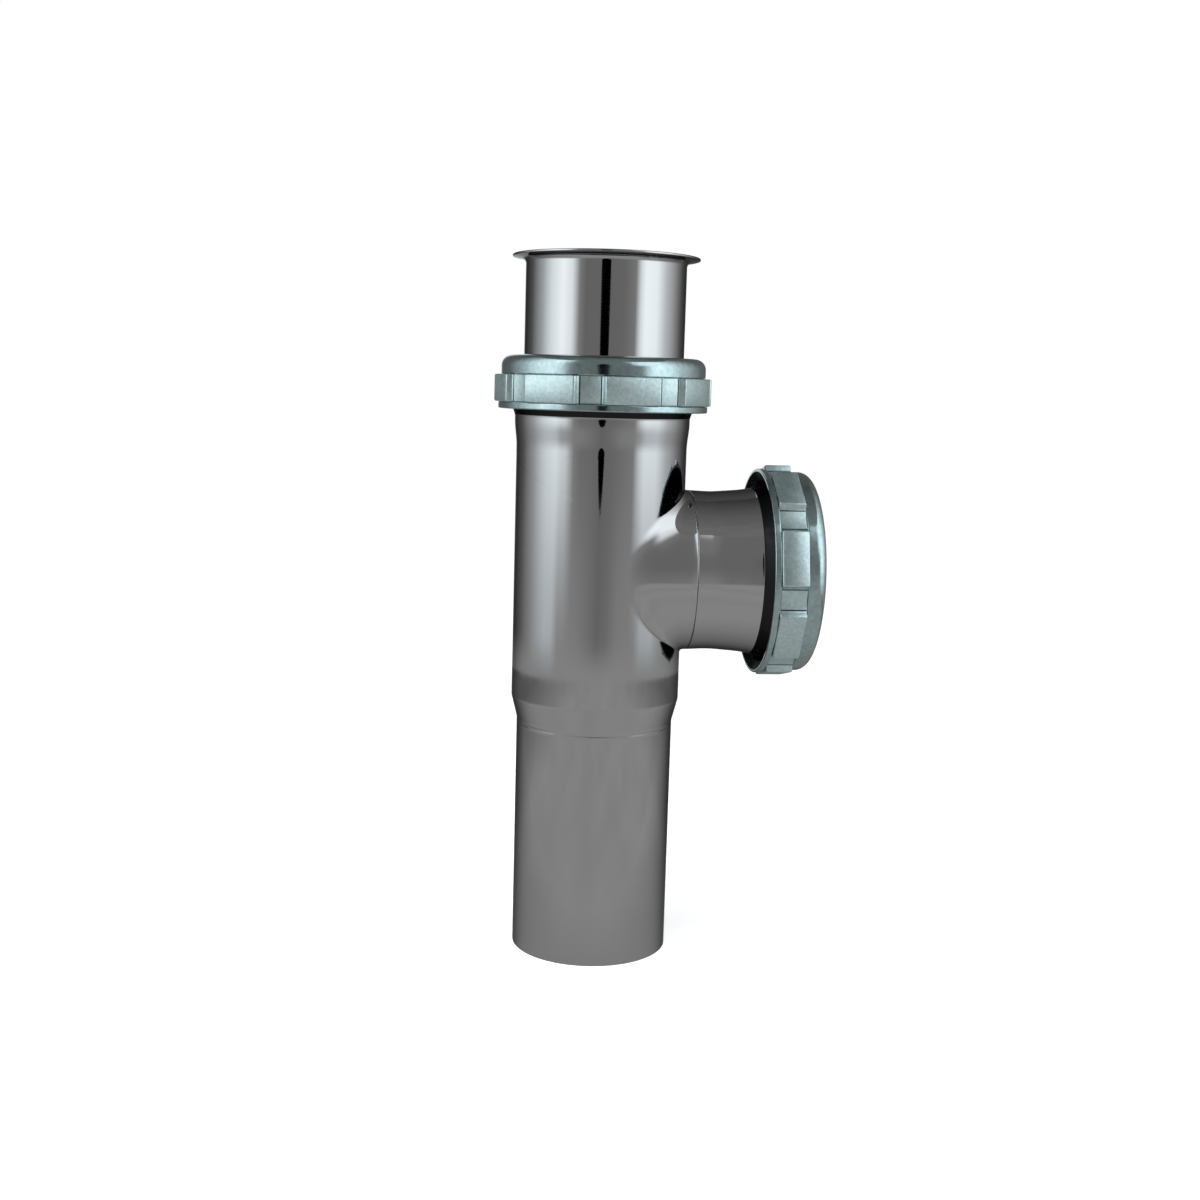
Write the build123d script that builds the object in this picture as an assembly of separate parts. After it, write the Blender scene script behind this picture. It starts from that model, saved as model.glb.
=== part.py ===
from build123d import *
import os
from math import cos, radians, sin

# Slip-joint waste tee for a basin or sink drain, in millimetres.
# The tail's lower end is centred on the origin, +Z runs up the body and +X along the branch.

# Tube sizes
tube_od = 38.1
tube_wall = 1.15
slip_clearance = 0.25
edge_break = 0.25

# Body, with heights from the tail's lower end
tail_length = 57.0
swage_length = 5.5
swage_bend = 3.0
branch_height = 93.8
body_height = 139.9
body_flare = 0.5
body_flare_length = 4.4
body_flare_land = 2.0
body_flare_bend = 20.0

# Threaded slip ends, the same on the body and on the branch
thread_rise = 1.6
thread_length = 6.3
step_length = 3.2
step_bend = 2.0
bore_lag = 0.7

# Collar on the body and the stub brazed to it, with lengths from the collar's end
collar_length = 1.05
saddle_fillet = 0.7
stub_length = 24.95
waist_length = 5.5
neck_length = 12.3
guide_length = 2.4
long_bend = 30.0

# How far collar, waist, neck and foot stand out past the plain tube
collar_swell = 0.4
waist_swell = 0.15
neck_swell = 0.7
foot_swell = 1.15

# Flanged tailpiece
flange_height = 167.9
flange_width = 3.15
flange_bend = 1.3
flange_neck = 2.0
flange_slope = 0.55
flange_lip = 0.5
tailpiece_length = 50.8
tailpiece_wall = 1.0

# Slip nuts
nut_height = 12.6
nut_web = 2.0
nut_ring_wall = 2.8
nut_ring_height = 1.6
nut_shoulder_wall = 2.15
nut_shoulder_round = 2.5
nut_hole_clearance = 0.45
thread_clearance = 0.15
thread_lead_in = 0.6
relief_depth = 0.3
relief_length = 2.4

# Wrench lugs round each nut
lug_count = 8
lug_height = 6.4
lug_wall = 3.0
lug_edge = 0.3
notch_mouth_width = 7.3
notch_floor_width = 5.8
notch_depth = 1.3
notch_sag = 0.3
top_nut_turn = 10.0
branch_nut_turn = 31.5

# Slip washers
washer_rim = 2.2
washer_nose = 3.0
washer_taper = 0.8
washer_clearance = 0.2
seat_gap = 0.2

# Sizes that follow from those above
tube_radius = tube_od / 2
tail_bore = tube_radius - tube_wall
socket_radius = tube_radius + slip_clearance
body_radius = socket_radius + tube_wall
thread_radius = body_radius + thread_rise
thread_bore = thread_radius - tube_wall
collar_radius = tube_radius + collar_swell
collar_bore = collar_radius - tube_wall
collar_reach = body_radius + collar_length
stub_reach = collar_reach + stub_length
flange_radius = tube_radius + flange_width
nut_thread_radius = thread_radius + thread_clearance
nut_ring_radius = nut_thread_radius + nut_ring_wall
nut_shoulder_radius = nut_thread_radius + nut_shoulder_wall
lug_flat_distance = nut_thread_radius + lug_wall
nut_hole_radius = tube_radius + nut_hole_clearance
mouth_to_seat = nut_height - nut_web - washer_rim - 2 * seat_gap


# Half plane of the turned sections, on the side away from the branch
section_plane = Plane((0, 0, 0), x_dir=(-1, 0, 0), z_dir=(0, 1, 0))


def turned(section, bends=()):
    """Turn a half section of (radius, height) corners about Z, with some corners bent to a radius."""
    face = make_face(Polyline(*section, close=True))
    for corner, radius in bends:
        face = fillet(face.vertices().sort_by_distance(corner)[0], radius)
    return revolve(section_plane * face, Axis.Z)


def body_outside():
    """Outside of the straight run: tail, swage, body, flare and threaded end, filled in."""
    shoulder = tail_length + swage_length
    thread_start = body_height - thread_length
    foot = thread_start - step_length
    flare_end = foot - body_flare_land
    flare_start = flare_end - body_flare_length
    flared_radius = body_radius + body_flare
    section = [
        (0, 0),
        (tube_radius, 0),
        (tube_radius, tail_length),
        (body_radius, shoulder),
        (body_radius, flare_start),
        (flared_radius, flare_end),
        (flared_radius, foot),
        (thread_radius, thread_start),
        (thread_radius, body_height),
        (0, body_height),
    ]
    bends = [
        ((tube_radius, tail_length), swage_bend),
        ((body_radius, shoulder), swage_bend),
        ((body_radius, flare_start), body_flare_bend),
        ((flared_radius, flare_end), body_flare_bend),
        ((flared_radius, foot), step_bend),
        ((thread_radius, thread_start), step_bend),
        ((thread_radius, body_height), edge_break),
    ]
    return turned(section, bends)


def body_bore():
    """Space inside the straight run, one tube wall in from its outside."""
    shoulder = tail_length + swage_length
    thread_start = body_height - thread_length
    section = [
        (0, 0),
        (tail_bore, 0),
        (tail_bore, tail_length),
        (socket_radius, shoulder),
        (socket_radius, thread_start - step_length + bore_lag),
        (thread_bore, thread_start + bore_lag),
        (thread_bore, body_height),
        (0, body_height),
    ]
    bends = [
        ((tail_bore, tail_length), swage_bend),
        ((socket_radius, shoulder), swage_bend),
    ]
    return turned(section, bends)


def tee_body():
    """One tube: threaded slip end on top, collar pulled out at the side, swaged tail below."""
    axis = Plane.YZ * Pos(0, branch_height)
    collar = extrude(axis * Circle(collar_radius), collar_reach)
    collar = fillet(collar.edges().filter_by(GeomType.CIRCLE).sort_by(Axis.X)[-1], edge_break)
    shell = body_outside() + collar
    saddle = shell.edges().filter_by(lambda edge: edge.geom_type not in (GeomType.LINE, GeomType.CIRCLE))
    shell = fillet(saddle, saddle_fillet)
    shell -= body_bore()
    shell -= extrude(axis * Circle(collar_bore), collar_reach)
    return shell


def branch_socket():
    """Waisted stub butted to the collar, with the same threaded slip end as the body."""
    waist = tube_radius + waist_swell
    neck = tube_radius + neck_swell
    foot = tube_radius + foot_swell
    waist_reach = collar_reach + waist_length
    neck_reach = collar_reach + neck_length
    thread_start = stub_reach - thread_length
    foot_reach = thread_start - step_length
    outside = [
        (0, collar_reach),
        (collar_radius, collar_reach),
        (waist, waist_reach),
        (neck, neck_reach),
        (foot, foot_reach),
        (thread_radius, thread_start),
        (thread_radius, stub_reach),
        (0, stub_reach),
    ]
    outside_bends = [
        ((collar_radius, collar_reach), edge_break),
        ((waist, waist_reach), long_bend),
        ((neck, neck_reach), long_bend),
        ((foot, foot_reach), step_bend),
        ((thread_radius, thread_start), step_bend),
        ((thread_radius, stub_reach), edge_break),
    ]
    guide_start = foot_reach + bore_lag
    guide_end = guide_start + guide_length
    bore = [
        (0, collar_reach),
        (collar_bore, collar_reach),
        (waist - tube_wall, waist_reach),
        (neck - tube_wall, neck_reach),
        (socket_radius, guide_start),
        (socket_radius, guide_end),
        (thread_bore, guide_end + bore_lag * 2),
        (thread_bore, stub_reach),
        (0, stub_reach),
    ]
    bore_bends = [
        ((waist - tube_wall, waist_reach), long_bend),
    ]
    stub = turned(outside, outside_bends) - turned(bore, bore_bends)
    return to_branch(stub)


def to_branch(piece):
    """Lay a piece made about Z along the branch, with its height as the reach from the body's axis."""
    return Pos(0, 0, branch_height) * Rot(0, 90, 0) * piece


def flanged_tailpiece():
    """Plain tube with its upper end turned out into a thin flange."""
    bore = tube_radius - tailpiece_wall
    rim = flange_radius
    lip_foot = flange_height - flange_lip
    neck = lip_foot - flange_slope
    section = [
        (bore, flange_height - tailpiece_length),
        (tube_radius, flange_height - tailpiece_length),
        (tube_radius, neck),
        (rim, lip_foot),
        (rim, flange_height),
        (bore, flange_height),
    ]
    bends = [
        ((tube_radius, neck), flange_bend),
        ((rim, lip_foot), edge_break * 0.6),
        ((rim, flange_height), edge_break),
        ((bore, flange_height), flange_neck),
    ]
    return turned(section, bends)


def notch(half_step):
    """Outline of one notch between two lugs, opening towards +X, from half the angle between lugs."""
    half_mouth = notch_mouth_width / 2
    half_floor = notch_floor_width / 2
    mouth_reach = (lug_flat_distance - half_mouth * sin(half_step)) / cos(half_step)
    floor_reach = mouth_reach - notch_depth
    outer_reach = mouth_reach + notch_depth * 2
    half_outer = half_mouth + (half_mouth - half_floor) * 2
    sides = Polyline(
        (floor_reach, half_floor),
        (outer_reach, half_outer),
        (outer_reach, -half_outer),
        (floor_reach, -half_floor),
    )
    floor = ThreePointArc((floor_reach, -half_floor), (floor_reach - notch_sag, 0), (floor_reach, half_floor))
    return make_face(sides + floor)


def nut_lugs():
    """Band of flat wrench lugs with a notch between each pair, filled in, with a lug towards +X."""
    step = 360 / lug_count
    outline = Rot(0, 0, step / 2) * RegularPolygon(lug_flat_distance, lug_count, major_radius=False)
    for index in range(lug_count):
        outline -= Rot(0, 0, step * (index + 0.5)) * notch(radians(step / 2))
    band = extrude(outline, lug_height)
    ends = band.edges().group_by(Axis.Z)
    flats = (ends[0] + ends[-1]).filter_by(lambda edge: edge.length > notch_mouth_width)
    return chamfer(flats, lug_edge)


def nut_bore():
    """Space inside a slip nut: lead-in, plain thread bore, relief under the web and tube hole."""
    web_start = nut_height - nut_web
    relief_start = web_start - relief_length
    relief_radius = nut_thread_radius + relief_depth
    section = [
        (0, 0),
        (nut_thread_radius + thread_lead_in, 0),
        (nut_thread_radius, thread_lead_in),
        (nut_thread_radius, relief_start),
        (relief_radius, relief_start),
        (relief_radius, web_start),
        (nut_hole_radius, web_start),
        (nut_hole_radius, nut_height - lug_edge),
        (nut_hole_radius + lug_edge, nut_height),
        (0, nut_height),
    ]
    return turned(section)


def slip_nut(turn):
    """Cast nut with its mouth at height 0 and one lug's middle turned from +X by the given degrees."""
    ring_radius = nut_ring_radius
    shoulder_radius = nut_shoulder_radius
    band_top = nut_ring_height + lug_height
    ring = turned(
        [(0, 0), (ring_radius, 0), (ring_radius, nut_ring_height), (0, nut_ring_height)],
        [((ring_radius, 0), lug_edge), ((ring_radius, nut_ring_height), lug_edge)],
    )
    shoulder = turned(
        [(0, band_top), (shoulder_radius, band_top), (shoulder_radius, nut_height), (0, nut_height)],
        [((shoulder_radius, nut_height), nut_shoulder_round)],
    )
    whole = ring + Pos(0, 0, nut_ring_height) * nut_lugs() + shoulder - nut_bore()
    return Rot(0, 0, turn) * whole


def slip_washer():
    """Rubber washer about Z: flat rim over a seat at height 0, tapered nose below it."""
    rim_radius = nut_thread_radius - washer_clearance
    nose_root = thread_bore - washer_clearance
    return turned(
        [
            (socket_radius, -washer_nose),
            (nose_root - washer_taper, -washer_nose),
            (nose_root, seat_gap),
            (rim_radius, seat_gap),
            (rim_radius, seat_gap + washer_rim),
            (socket_radius, seat_gap + washer_rim),
        ]
    )


pieces = {
    "tee_body": tee_body(),
    "branch_socket": branch_socket(),
    "flanged_tailpiece": flanged_tailpiece(),
    "top_slip_nut": Pos(0, 0, body_height - mouth_to_seat) * slip_nut(top_nut_turn),
    "top_slip_washer": Pos(0, 0, body_height) * slip_washer(),
    "branch_slip_nut": to_branch(Pos(0, 0, stub_reach - mouth_to_seat) * slip_nut(branch_nut_turn)),
    "branch_slip_washer": to_branch(Pos(0, 0, stub_reach) * slip_washer()),
}

os.makedirs("parts", exist_ok=True)
for name, piece in pieces.items():
    export_step(piece, f"parts/{name}.step")
    print(name, round(piece.volume, 1), piece.is_valid)
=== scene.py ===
# %% [markdown]
# A slip-joint waste tee with a flanged tailpiece.
#
# Under a basin, this chromed brass tee takes water from the waste above it and from a side
# branch. The flanged tube slides in the top joint, and a zinc nut on each joint squeezes a
# rubber washer against the tube. The sizes, places and joints are fixed already, in the
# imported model. What is left for Blender is how each piece looks: mirror chrome, cast zinc,
# black rubber, and the threads that show when a nut is undone.

# %% Load the frame
from math import atan2, ceil, cos, hypot, inf, pi, radians, sin, sqrt, tan

import bpy
from mathutils import Matrix, Vector


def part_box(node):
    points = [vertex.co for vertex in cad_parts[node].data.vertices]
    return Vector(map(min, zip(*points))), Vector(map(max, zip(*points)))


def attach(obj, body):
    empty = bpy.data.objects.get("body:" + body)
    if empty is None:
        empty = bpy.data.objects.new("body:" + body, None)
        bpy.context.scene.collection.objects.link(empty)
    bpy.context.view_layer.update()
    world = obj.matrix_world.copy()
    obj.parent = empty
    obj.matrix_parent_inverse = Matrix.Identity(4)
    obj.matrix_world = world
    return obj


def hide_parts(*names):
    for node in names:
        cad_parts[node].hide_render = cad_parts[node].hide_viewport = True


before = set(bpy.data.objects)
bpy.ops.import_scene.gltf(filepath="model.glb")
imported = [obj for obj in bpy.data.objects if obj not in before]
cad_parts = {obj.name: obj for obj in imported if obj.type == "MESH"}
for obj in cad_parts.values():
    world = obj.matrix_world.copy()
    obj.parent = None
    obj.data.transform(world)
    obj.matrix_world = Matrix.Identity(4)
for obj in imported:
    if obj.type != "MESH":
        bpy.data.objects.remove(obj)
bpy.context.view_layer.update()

MM = 0.001
WELD = 0.002 * MM

# %% [markdown]
# A few helpers come first. Blender's operators act on whatever is selected, and the loaded
# frame is selected all over, so every step starts by letting go of everything.

# %% Helpers for objects
def let_go():
    """Leave edit mode and deselect every object."""
    if bpy.context.object and bpy.context.object.mode != "OBJECT":
        bpy.ops.object.mode_set(mode="OBJECT")
    bpy.ops.object.select_all(action="DESELECT")


def hold(*objects):
    """Select these objects alone, with the first one active."""
    let_go()
    for each in objects:
        each.select_set(True)
    bpy.context.view_layer.objects.active = objects[0]


def new_piece(name, points, edges=(), faces=()):
    """A mesh object from points in metres, linked to the scene and selected."""
    mesh = bpy.data.meshes.new(name)
    mesh.from_pydata(points, edges, faces)
    piece = bpy.data.objects.new(name, mesh)
    bpy.context.scene.collection.objects.link(piece)
    hold(piece)
    return piece


def close_up(piece):
    """Merge the points that lie on each other and turn the faces outwards."""
    hold(piece)
    bpy.ops.object.mode_set(mode="EDIT")
    bpy.ops.mesh.select_all(action="SELECT")
    bpy.ops.mesh.remove_doubles(threshold=WELD)
    bpy.ops.mesh.normals_make_consistent(inside=False)
    bpy.ops.object.mode_set(mode="OBJECT")


def join(first, *others):
    """Join meshes into the first one."""
    hold(first, *others)
    bpy.ops.object.join()
    return first


def tell(*pieces):
    """Print how many faces each piece has, and its width, depth and height."""
    for piece in pieces:
        places = [vertex.co for vertex in piece.data.vertices]
        reach = [[place[axis] for place in places] for axis in range(3)]
        sides = [round((max(along) - min(along)) / MM, 1) for along in reach]
        print(piece.name, len(piece.data.polygons), "faces,", sides, "mm")


# %% [markdown]
# The tubes and the nuts are turned shapes. Each starts as the outline of its cut wall, with
# its corners rounded by true arcs, and the Spin tool carries that outline round the axis.
# A mirror finish shows every uneven normal, so each straight stretch gets a point close to
# both of its ends: the long faces between them then stay exactly straight in a reflection.

# %% Outlines with rounded corners
ARC_STEP = radians(7)
GUARD = 0.25 * MM
GUARD_ROOM = 3 * GUARD


def rounded(corners, bends=()):
    """Points of a closed outline in (radius, height), with bends as (corner index, radius)."""
    radius_at = dict(bends)
    points = []
    count = len(corners)
    for index, corner in enumerate(corners):
        here = Vector(corner)
        back = Vector(corners[index - 1]) - here
        ahead = Vector(corners[(index + 1) % count]) - here
        reach = 0.0
        if index in radius_at:
            turn = pi - back.angle(ahead)
            reach = radius_at[index] * tan(turn / 2)
            steps = max(3, ceil(turn / ARC_STEP))
        near, far = back.normalized(), ahead.normalized()
        if back.length > reach + GUARD_ROOM:
            points.append(here + near * (reach + GUARD))
        if reach:
            middle = here + (near + far).normalized() * (radius_at[index] / cos(turn / 2))
            start = here + near * reach - middle
            end = here + far * reach - middle
            for step in range(steps + 1):
                share = step / steps
                arm = start * sin((1 - share) * turn) + end * sin(share * turn)
                points.append(middle + arm / sin(turn))
        else:
            points.append(here)
        if ahead.length > reach + GUARD_ROOM:
            points.append(here + far * (reach + GUARD))
    return points


# %% Spin an outline
SPIN_STEPS = 192


def spun(name, outline, closed=True):
    """Spin an outline of (radius, height) points about Z, from the side away from the branch."""
    points = [(-radius, 0.0, height) for radius, height in outline]
    edges = [(index, index + 1) for index in range(len(points) - 1)]
    if closed:
        edges.append((len(points) - 1, 0))
    piece = new_piece(name, points, edges)
    bpy.ops.object.mode_set(mode="EDIT")
    bpy.ops.mesh.select_all(action="SELECT")
    bpy.ops.mesh.spin(steps=SPIN_STEPS, angle=2 * pi, center=(0, 0, 0), axis=(0, 0, 1))
    bpy.ops.object.mode_set(mode="OBJECT")
    close_up(piece)
    return piece


# %% Sizes shared by the pieces
TUBE = 19.05 * MM
TUBE_WALL = 1.15 * MM
SOCKET = TUBE + 0.25 * MM
BODY = SOCKET + TUBE_WALL
THREAD = BODY + 1.6 * MM
THREAD_BORE = THREAD - TUBE_WALL
COLLAR = TUBE + 0.4 * MM
COLLAR_REACH = BODY + 1.05 * MM
STUB_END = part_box("branch_socket")[1].x
BRANCH = 93.8 * MM
BODY_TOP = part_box("tee_body")[1].z
EDGE = 0.25 * MM
THREAD_LENGTH = 6.3 * MM
STEP_LENGTH = 3.2 * MM
STEP_BEND = 2.0 * MM
BORE_LAG = 0.7 * MM
print("body stands", round(BODY_TOP / MM, 1), "mm, branch reaches", round(STUB_END / MM, 2))

# %% [markdown]
# The slip threads are fine and round, 11.5 to the inch. A turned piece gets its thread by
# pushing the points of its plain threaded band in and out along a helix. One rule makes the
# threads on tubes and nuts alike, so their ridges stay in step while a nut climbs.

# %% Threads
PITCH = 25.4 / 11.5 * MM
RIDGE = 0.45 * MM
THREAD_ROW = 0.13 * MM
THREAD_SLACK = 0.01 * MM
ON_BAND = 0.0001 * MM
TUBE_THREAD_FADE = 1.1 * MM
NUT_THREAD_FADE = 0.7 * MM


def cut_thread(piece, radius, low, high, fade):
    """Push the points that lie at this radius, between two heights, onto a right-hand helix."""
    for vertex in piece.data.vertices:
        x, y, z = vertex.co
        if abs(hypot(x, y) - radius) > THREAD_SLACK or not low < z < high:
            continue
        ease = min(1.0, (z - low) / fade, (high - z) / fade)
        ease = ease * ease * (3 - 2 * ease)
        swell = RIDGE * ease * cos(2 * pi * z / PITCH - atan2(y, x))
        vertex.co.x *= 1 + swell / radius
        vertex.co.y *= 1 + swell / radius


def with_thread_rows(points, radius):
    """The same outline with close rows of points along the straight band at this radius."""
    banded = [place for place, point in enumerate(points) if abs(point.x - radius) < ON_BAND]
    first, last = banded[0], banded[-1]
    low, high = points[first].y, points[last].y
    count = ceil(abs(high - low) / THREAD_ROW)
    rows = [Vector((radius, low + (high - low) * row / count)) for row in range(1, count)]
    return points[:first + 1] + rows + points[last:]


# %% Lay a piece along the branch
TO_BRANCH = Matrix.Translation((0, 0, BRANCH)) @ Matrix.Rotation(radians(90), 4, "Y")

# %% [markdown]
# The camera stands where the photograph was taken from: close, a little to the left, looking
# down at about eight degrees, with a slight roll. Its lens is a touch longer than a normal
# one, which keeps the tube's sides nearly parallel.

# %% Camera
CAMERA_PLACE = Vector((-0.03740, -0.36227, 0.13780))
CAMERA_PAN = radians(6.0)
CAMERA_PITCH = radians(8.095)
CAMERA_ROLL = radians(1.62)
LENS = 45.2355

flat = cos(CAMERA_PITCH)
ahead = Vector((sin(CAMERA_PAN) * flat, cos(CAMERA_PAN) * flat, -sin(CAMERA_PITCH)))
level = Vector((cos(CAMERA_PAN), -sin(CAMERA_PAN), 0))
upright = level.cross(ahead)
camera_x = level * cos(CAMERA_ROLL) + upright * sin(CAMERA_ROLL)
camera_y = upright * cos(CAMERA_ROLL) - level * sin(CAMERA_ROLL)
lens = bpy.data.cameras.new("camera")
lens.lens = LENS
lens.sensor_width = 36.0
lens.sensor_fit = "HORIZONTAL"
lens.clip_start = 0.01
lens.clip_end = 50.0
camera = bpy.data.objects.new("camera", lens)
facing = Matrix((camera_x, camera_y, -ahead)).transposed().to_4x4()
camera.matrix_world = Matrix.Translation(CAMERA_PLACE) @ facing
bpy.context.scene.collection.objects.link(camera)
bpy.context.scene.camera = camera
print("camera stands", round(CAMERA_PLACE.xy.length / MM), "mm from the body's axis")

# %% [markdown]
# Materials are built from nodes. This helper starts one, hands back its shader, and makes
# links short to write. Values that are the same all over go on the shader's own sockets.

# %% Helper for materials
class Finish:
    """A new material with its Principled shader and a few short calls for its nodes."""

    def __init__(self, name, colour, metallic=0.0, roughness=0.5):
        self.material = bpy.data.materials.new(name)
        self.material.use_nodes = True
        self.tree = self.material.node_tree
        self.shader = self.tree.nodes["Principled BSDF"]
        self.shader.inputs["Base Color"].default_value = (*colour, 1)
        self.shader.inputs["Metallic"].default_value = metallic
        self.shader.inputs["Roughness"].default_value = roughness
        self.place = self.node("ShaderNodeTexCoord").outputs["Object"]

    def node(self, kind, **values):
        made = self.tree.nodes.new(kind)
        for name, value in values.items():
            setattr(made, name, value)
        return made

    def link(self, source, target):
        self.tree.links.new(source, target)

    def feed(self, socket, value):
        """Give a socket its value: a number, a colour or the output of another node."""
        if isinstance(value, bpy.types.NodeSocket):
            self.link(value, socket)
        elif isinstance(value, tuple):
            socket.default_value = (*value, 1)
        else:
            socket.default_value = value

    def noise(self, size, detail=2.0, stretch=(1, 1, 1)):
        """Noise with features of about this size in metres, stretched along an axis if asked."""
        scale = self.node("ShaderNodeMapping")
        scale.inputs["Scale"].default_value = stretch
        self.link(self.place, scale.inputs["Vector"])
        made = self.node("ShaderNodeTexNoise")
        made.inputs["Scale"].default_value = 1 / size
        made.inputs["Detail"].default_value = detail
        self.link(scale.outputs["Vector"], made.inputs["Vector"])
        return made.outputs["Fac"]

    def spread(self, source, low, high, start=0.3, end=0.7):
        """Map a texture onto a range of values."""
        made = self.node("ShaderNodeMapRange")
        made.inputs["From Min"].default_value = start
        made.inputs["From Max"].default_value = end
        made.inputs["To Min"].default_value = low
        made.inputs["To Max"].default_value = high
        self.link(source, made.inputs["Value"])
        return made.outputs["Result"]

    def blend(self, source, low, high):
        """Blend two colours, each given as numbers or by another node."""
        made = self.node("ShaderNodeMix", data_type="RGBA")
        self.feed(made.inputs["A"], low)
        self.feed(made.inputs["B"], high)
        self.link(source, made.inputs["Factor"])
        return made.outputs["Result"]

    def bump(self, source, distance, strength=1.0):
        """A bump of this height in metres."""
        made = self.node("ShaderNodeBump")
        made.inputs["Distance"].default_value = distance
        made.inputs["Strength"].default_value = strength
        self.link(source, made.inputs["Height"])
        return made.outputs["Normal"]

    def work_out(self, operation, first, second):
        """One step of arithmetic on two values."""
        made = self.node("ShaderNodeMath", operation=operation)
        self.feed(made.inputs[0], first)
        self.feed(made.inputs[1], second)
        return made.outputs[0]

    def glow(self, colour, strength):
        """A surface that gives off light."""
        made = self.node("ShaderNodeEmission")
        self.feed(made.inputs["Color"], colour)
        self.feed(made.inputs["Strength"], strength)
        return made.outputs[0]

    def show(self, surface):
        """Make this the material's surface, in place of its Principled shader alone."""
        self.link(surface, self.tree.nodes["Material Output"].inputs["Surface"])
        return self.material


# %% Helper to put finishes on a piece
def dress(piece, *materials):
    """Replace a piece's materials. Faces choose one by its number, and start with number 0."""
    piece.data.materials.clear()
    for material in materials:
        piece.data.materials.append(material)


# %% [markdown]
# Chrome on brass tube is bright, neutral and hard. It is never perfectly flat: drawing the
# tube leaves faint lengthwise waves, and wiping leaves a thin haze, so the roughness and a
# very shallow bump vary a little. Without them the mirror would look computed.

# %% Chrome
CHROME_COLOUR = (0.45, 0.45, 0.455)
CHROME_EDGE = (0.3, 0.3, 0.3)
HAZE_SIZE = 9 * MM
HAZE_ROUGHNESS = (0.035, 0.075)
WAVE_SIZE = 2.2 * MM
WAVE_HEIGHT = 0.003 * MM


def chrome(name, along):
    """Polished chrome whose drawing waves run along the axis of the tube."""
    finish = Finish(name, CHROME_COLOUR, metallic=1.0)
    finish.shader.inputs["Specular Tint"].default_value = (*CHROME_EDGE, 1)
    haze = finish.noise(HAZE_SIZE, detail=3)
    finish.link(finish.spread(haze, *HAZE_ROUGHNESS), finish.shader.inputs["Roughness"])
    waves = finish.noise(WAVE_SIZE, detail=1, stretch=along)
    finish.link(finish.bump(waves, WAVE_HEIGHT, 0.4), finish.shader.inputs["Normal"])
    return finish.material


chrome_upright = chrome("chrome_upright", (1, 1, 0.03))
chrome_level = chrome("chrome_level", (0.03, 1, 1))

# %% [markdown]
# Plating hardly reaches down a tube, so in the bores the brass shows as a dull warm metal
# with brown clouds. Only the tailpiece keeps its plating for a short way below the flange.

# %% Bare brass in the bores
BRASS = (0.36, 0.29, 0.17)
BRASS_BROWN = (0.30, 0.245, 0.15)
BRASS_PALE = (0.40, 0.33, 0.20)


def bore_brass():
    finish = Finish("bore_brass", BRASS, metallic=1.0)
    cloud = finish.noise(6 * MM, detail=4)
    colour = finish.blend(cloud, BRASS_BROWN, BRASS_PALE)
    finish.link(colour, finish.shader.inputs["Base Color"])
    finish.link(finish.spread(cloud, 0.30, 0.46), finish.shader.inputs["Roughness"])
    return finish.material


brass = bore_brass()

# %% [markdown]
# The threads and the step below them get a rougher metal, coloured near-black as painted
# shade for the shadow they sit in inside a nut.

# %% Painted shade in the joints
def painted_shade_metal(name, colour):
    finish = Finish(name, colour, metallic=1.0)
    stain = finish.noise(2.5 * MM, detail=3)
    finish.link(finish.spread(stain, 0.25, 0.45), finish.shader.inputs["Roughness"])
    finish.shader.inputs["Specular Tint"].default_value = (*CHROME_EDGE, 1)
    return finish.material


# Painted shade: near-black metal for threads, steps and hollows that sit in shadow.
painted_shade_chrome = painted_shade_metal("painted_shade_chrome", (0.025, 0.025, 0.026))
painted_shade_zinc = painted_shade_metal("painted_shade_zinc", (0.04, 0.05, 0.05))

# %% [markdown]
# The nuts are cast in zinc and passivated, which gives them a cold blue-green tint. Their
# turned bands are smooth with a soft shine. The wrench lugs keep the grain of the mould, so
# they get a second, rougher finish with a fine pitted bump.

# %% Cast zinc
ZINC_DARK = (0.33, 0.42, 0.43)
ZINC_PLAIN = (0.42, 0.53, 0.54)
ZINC_GREY = (0.48, 0.60, 0.605)
ZINC_PALE = (0.60, 0.73, 0.73)


def zinc(name, low, high, grain_size, grain, rough_low, rough_high):
    finish = Finish(name, high, metallic=1.0)
    mottle = finish.noise(3 * MM, detail=3)
    pits = finish.noise(grain_size, detail=3)
    finish.link(finish.blend(finish.spread(pits, 0, 1), low, high), finish.shader.inputs["Base Color"])
    finish.link(finish.spread(mottle, rough_low, rough_high), finish.shader.inputs["Roughness"])
    finish.link(finish.bump(pits, grain, 0.6), finish.shader.inputs["Normal"])
    return finish.material


zinc_smooth = zinc("zinc_smooth", ZINC_DARK, ZINC_PLAIN, 1.2 * MM, 0.012 * MM, 0.10, 0.17)
zinc_grainy = zinc("zinc_grainy", ZINC_GREY, ZINC_PALE, 0.8 * MM, 0.075 * MM, 0.38, 0.48)

# %% [markdown]
# The washers are black rubber with a faint grey bloom and a matt moulded skin.

# %% Rubber
def washer_rubber():
    finish = Finish("black_rubber", (0.022, 0.022, 0.023))
    bloom = finish.noise(4 * MM, detail=4)
    finish.link(finish.spread(bloom, 0.48, 0.66), finish.shader.inputs["Roughness"])
    skin = finish.noise(0.3 * MM, detail=2)
    finish.link(finish.bump(skin, 0.02 * MM, 0.4), finish.shader.inputs["Normal"])
    return finish.material


rubber = washer_rubber()

# %% [markdown]
# The tee's body is one tube. Its tail and its threaded top are plain turned shapes, but the
# middle is not: a collar is pulled out of the wall for the branch, and the metal flows from
# the body into the collar in a soft saddle. Joining two cylinders would leave a hard crease
# there, and rounding such a crease on a dense mesh goes wrong. So the middle is wrapped from
# a flat grid instead. Its lines run as spokes, from the collar's rim back along the collar,
# over the saddle and away across the body, and each point is then drawn onto the smooth
# surface that the two tubes share.

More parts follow.
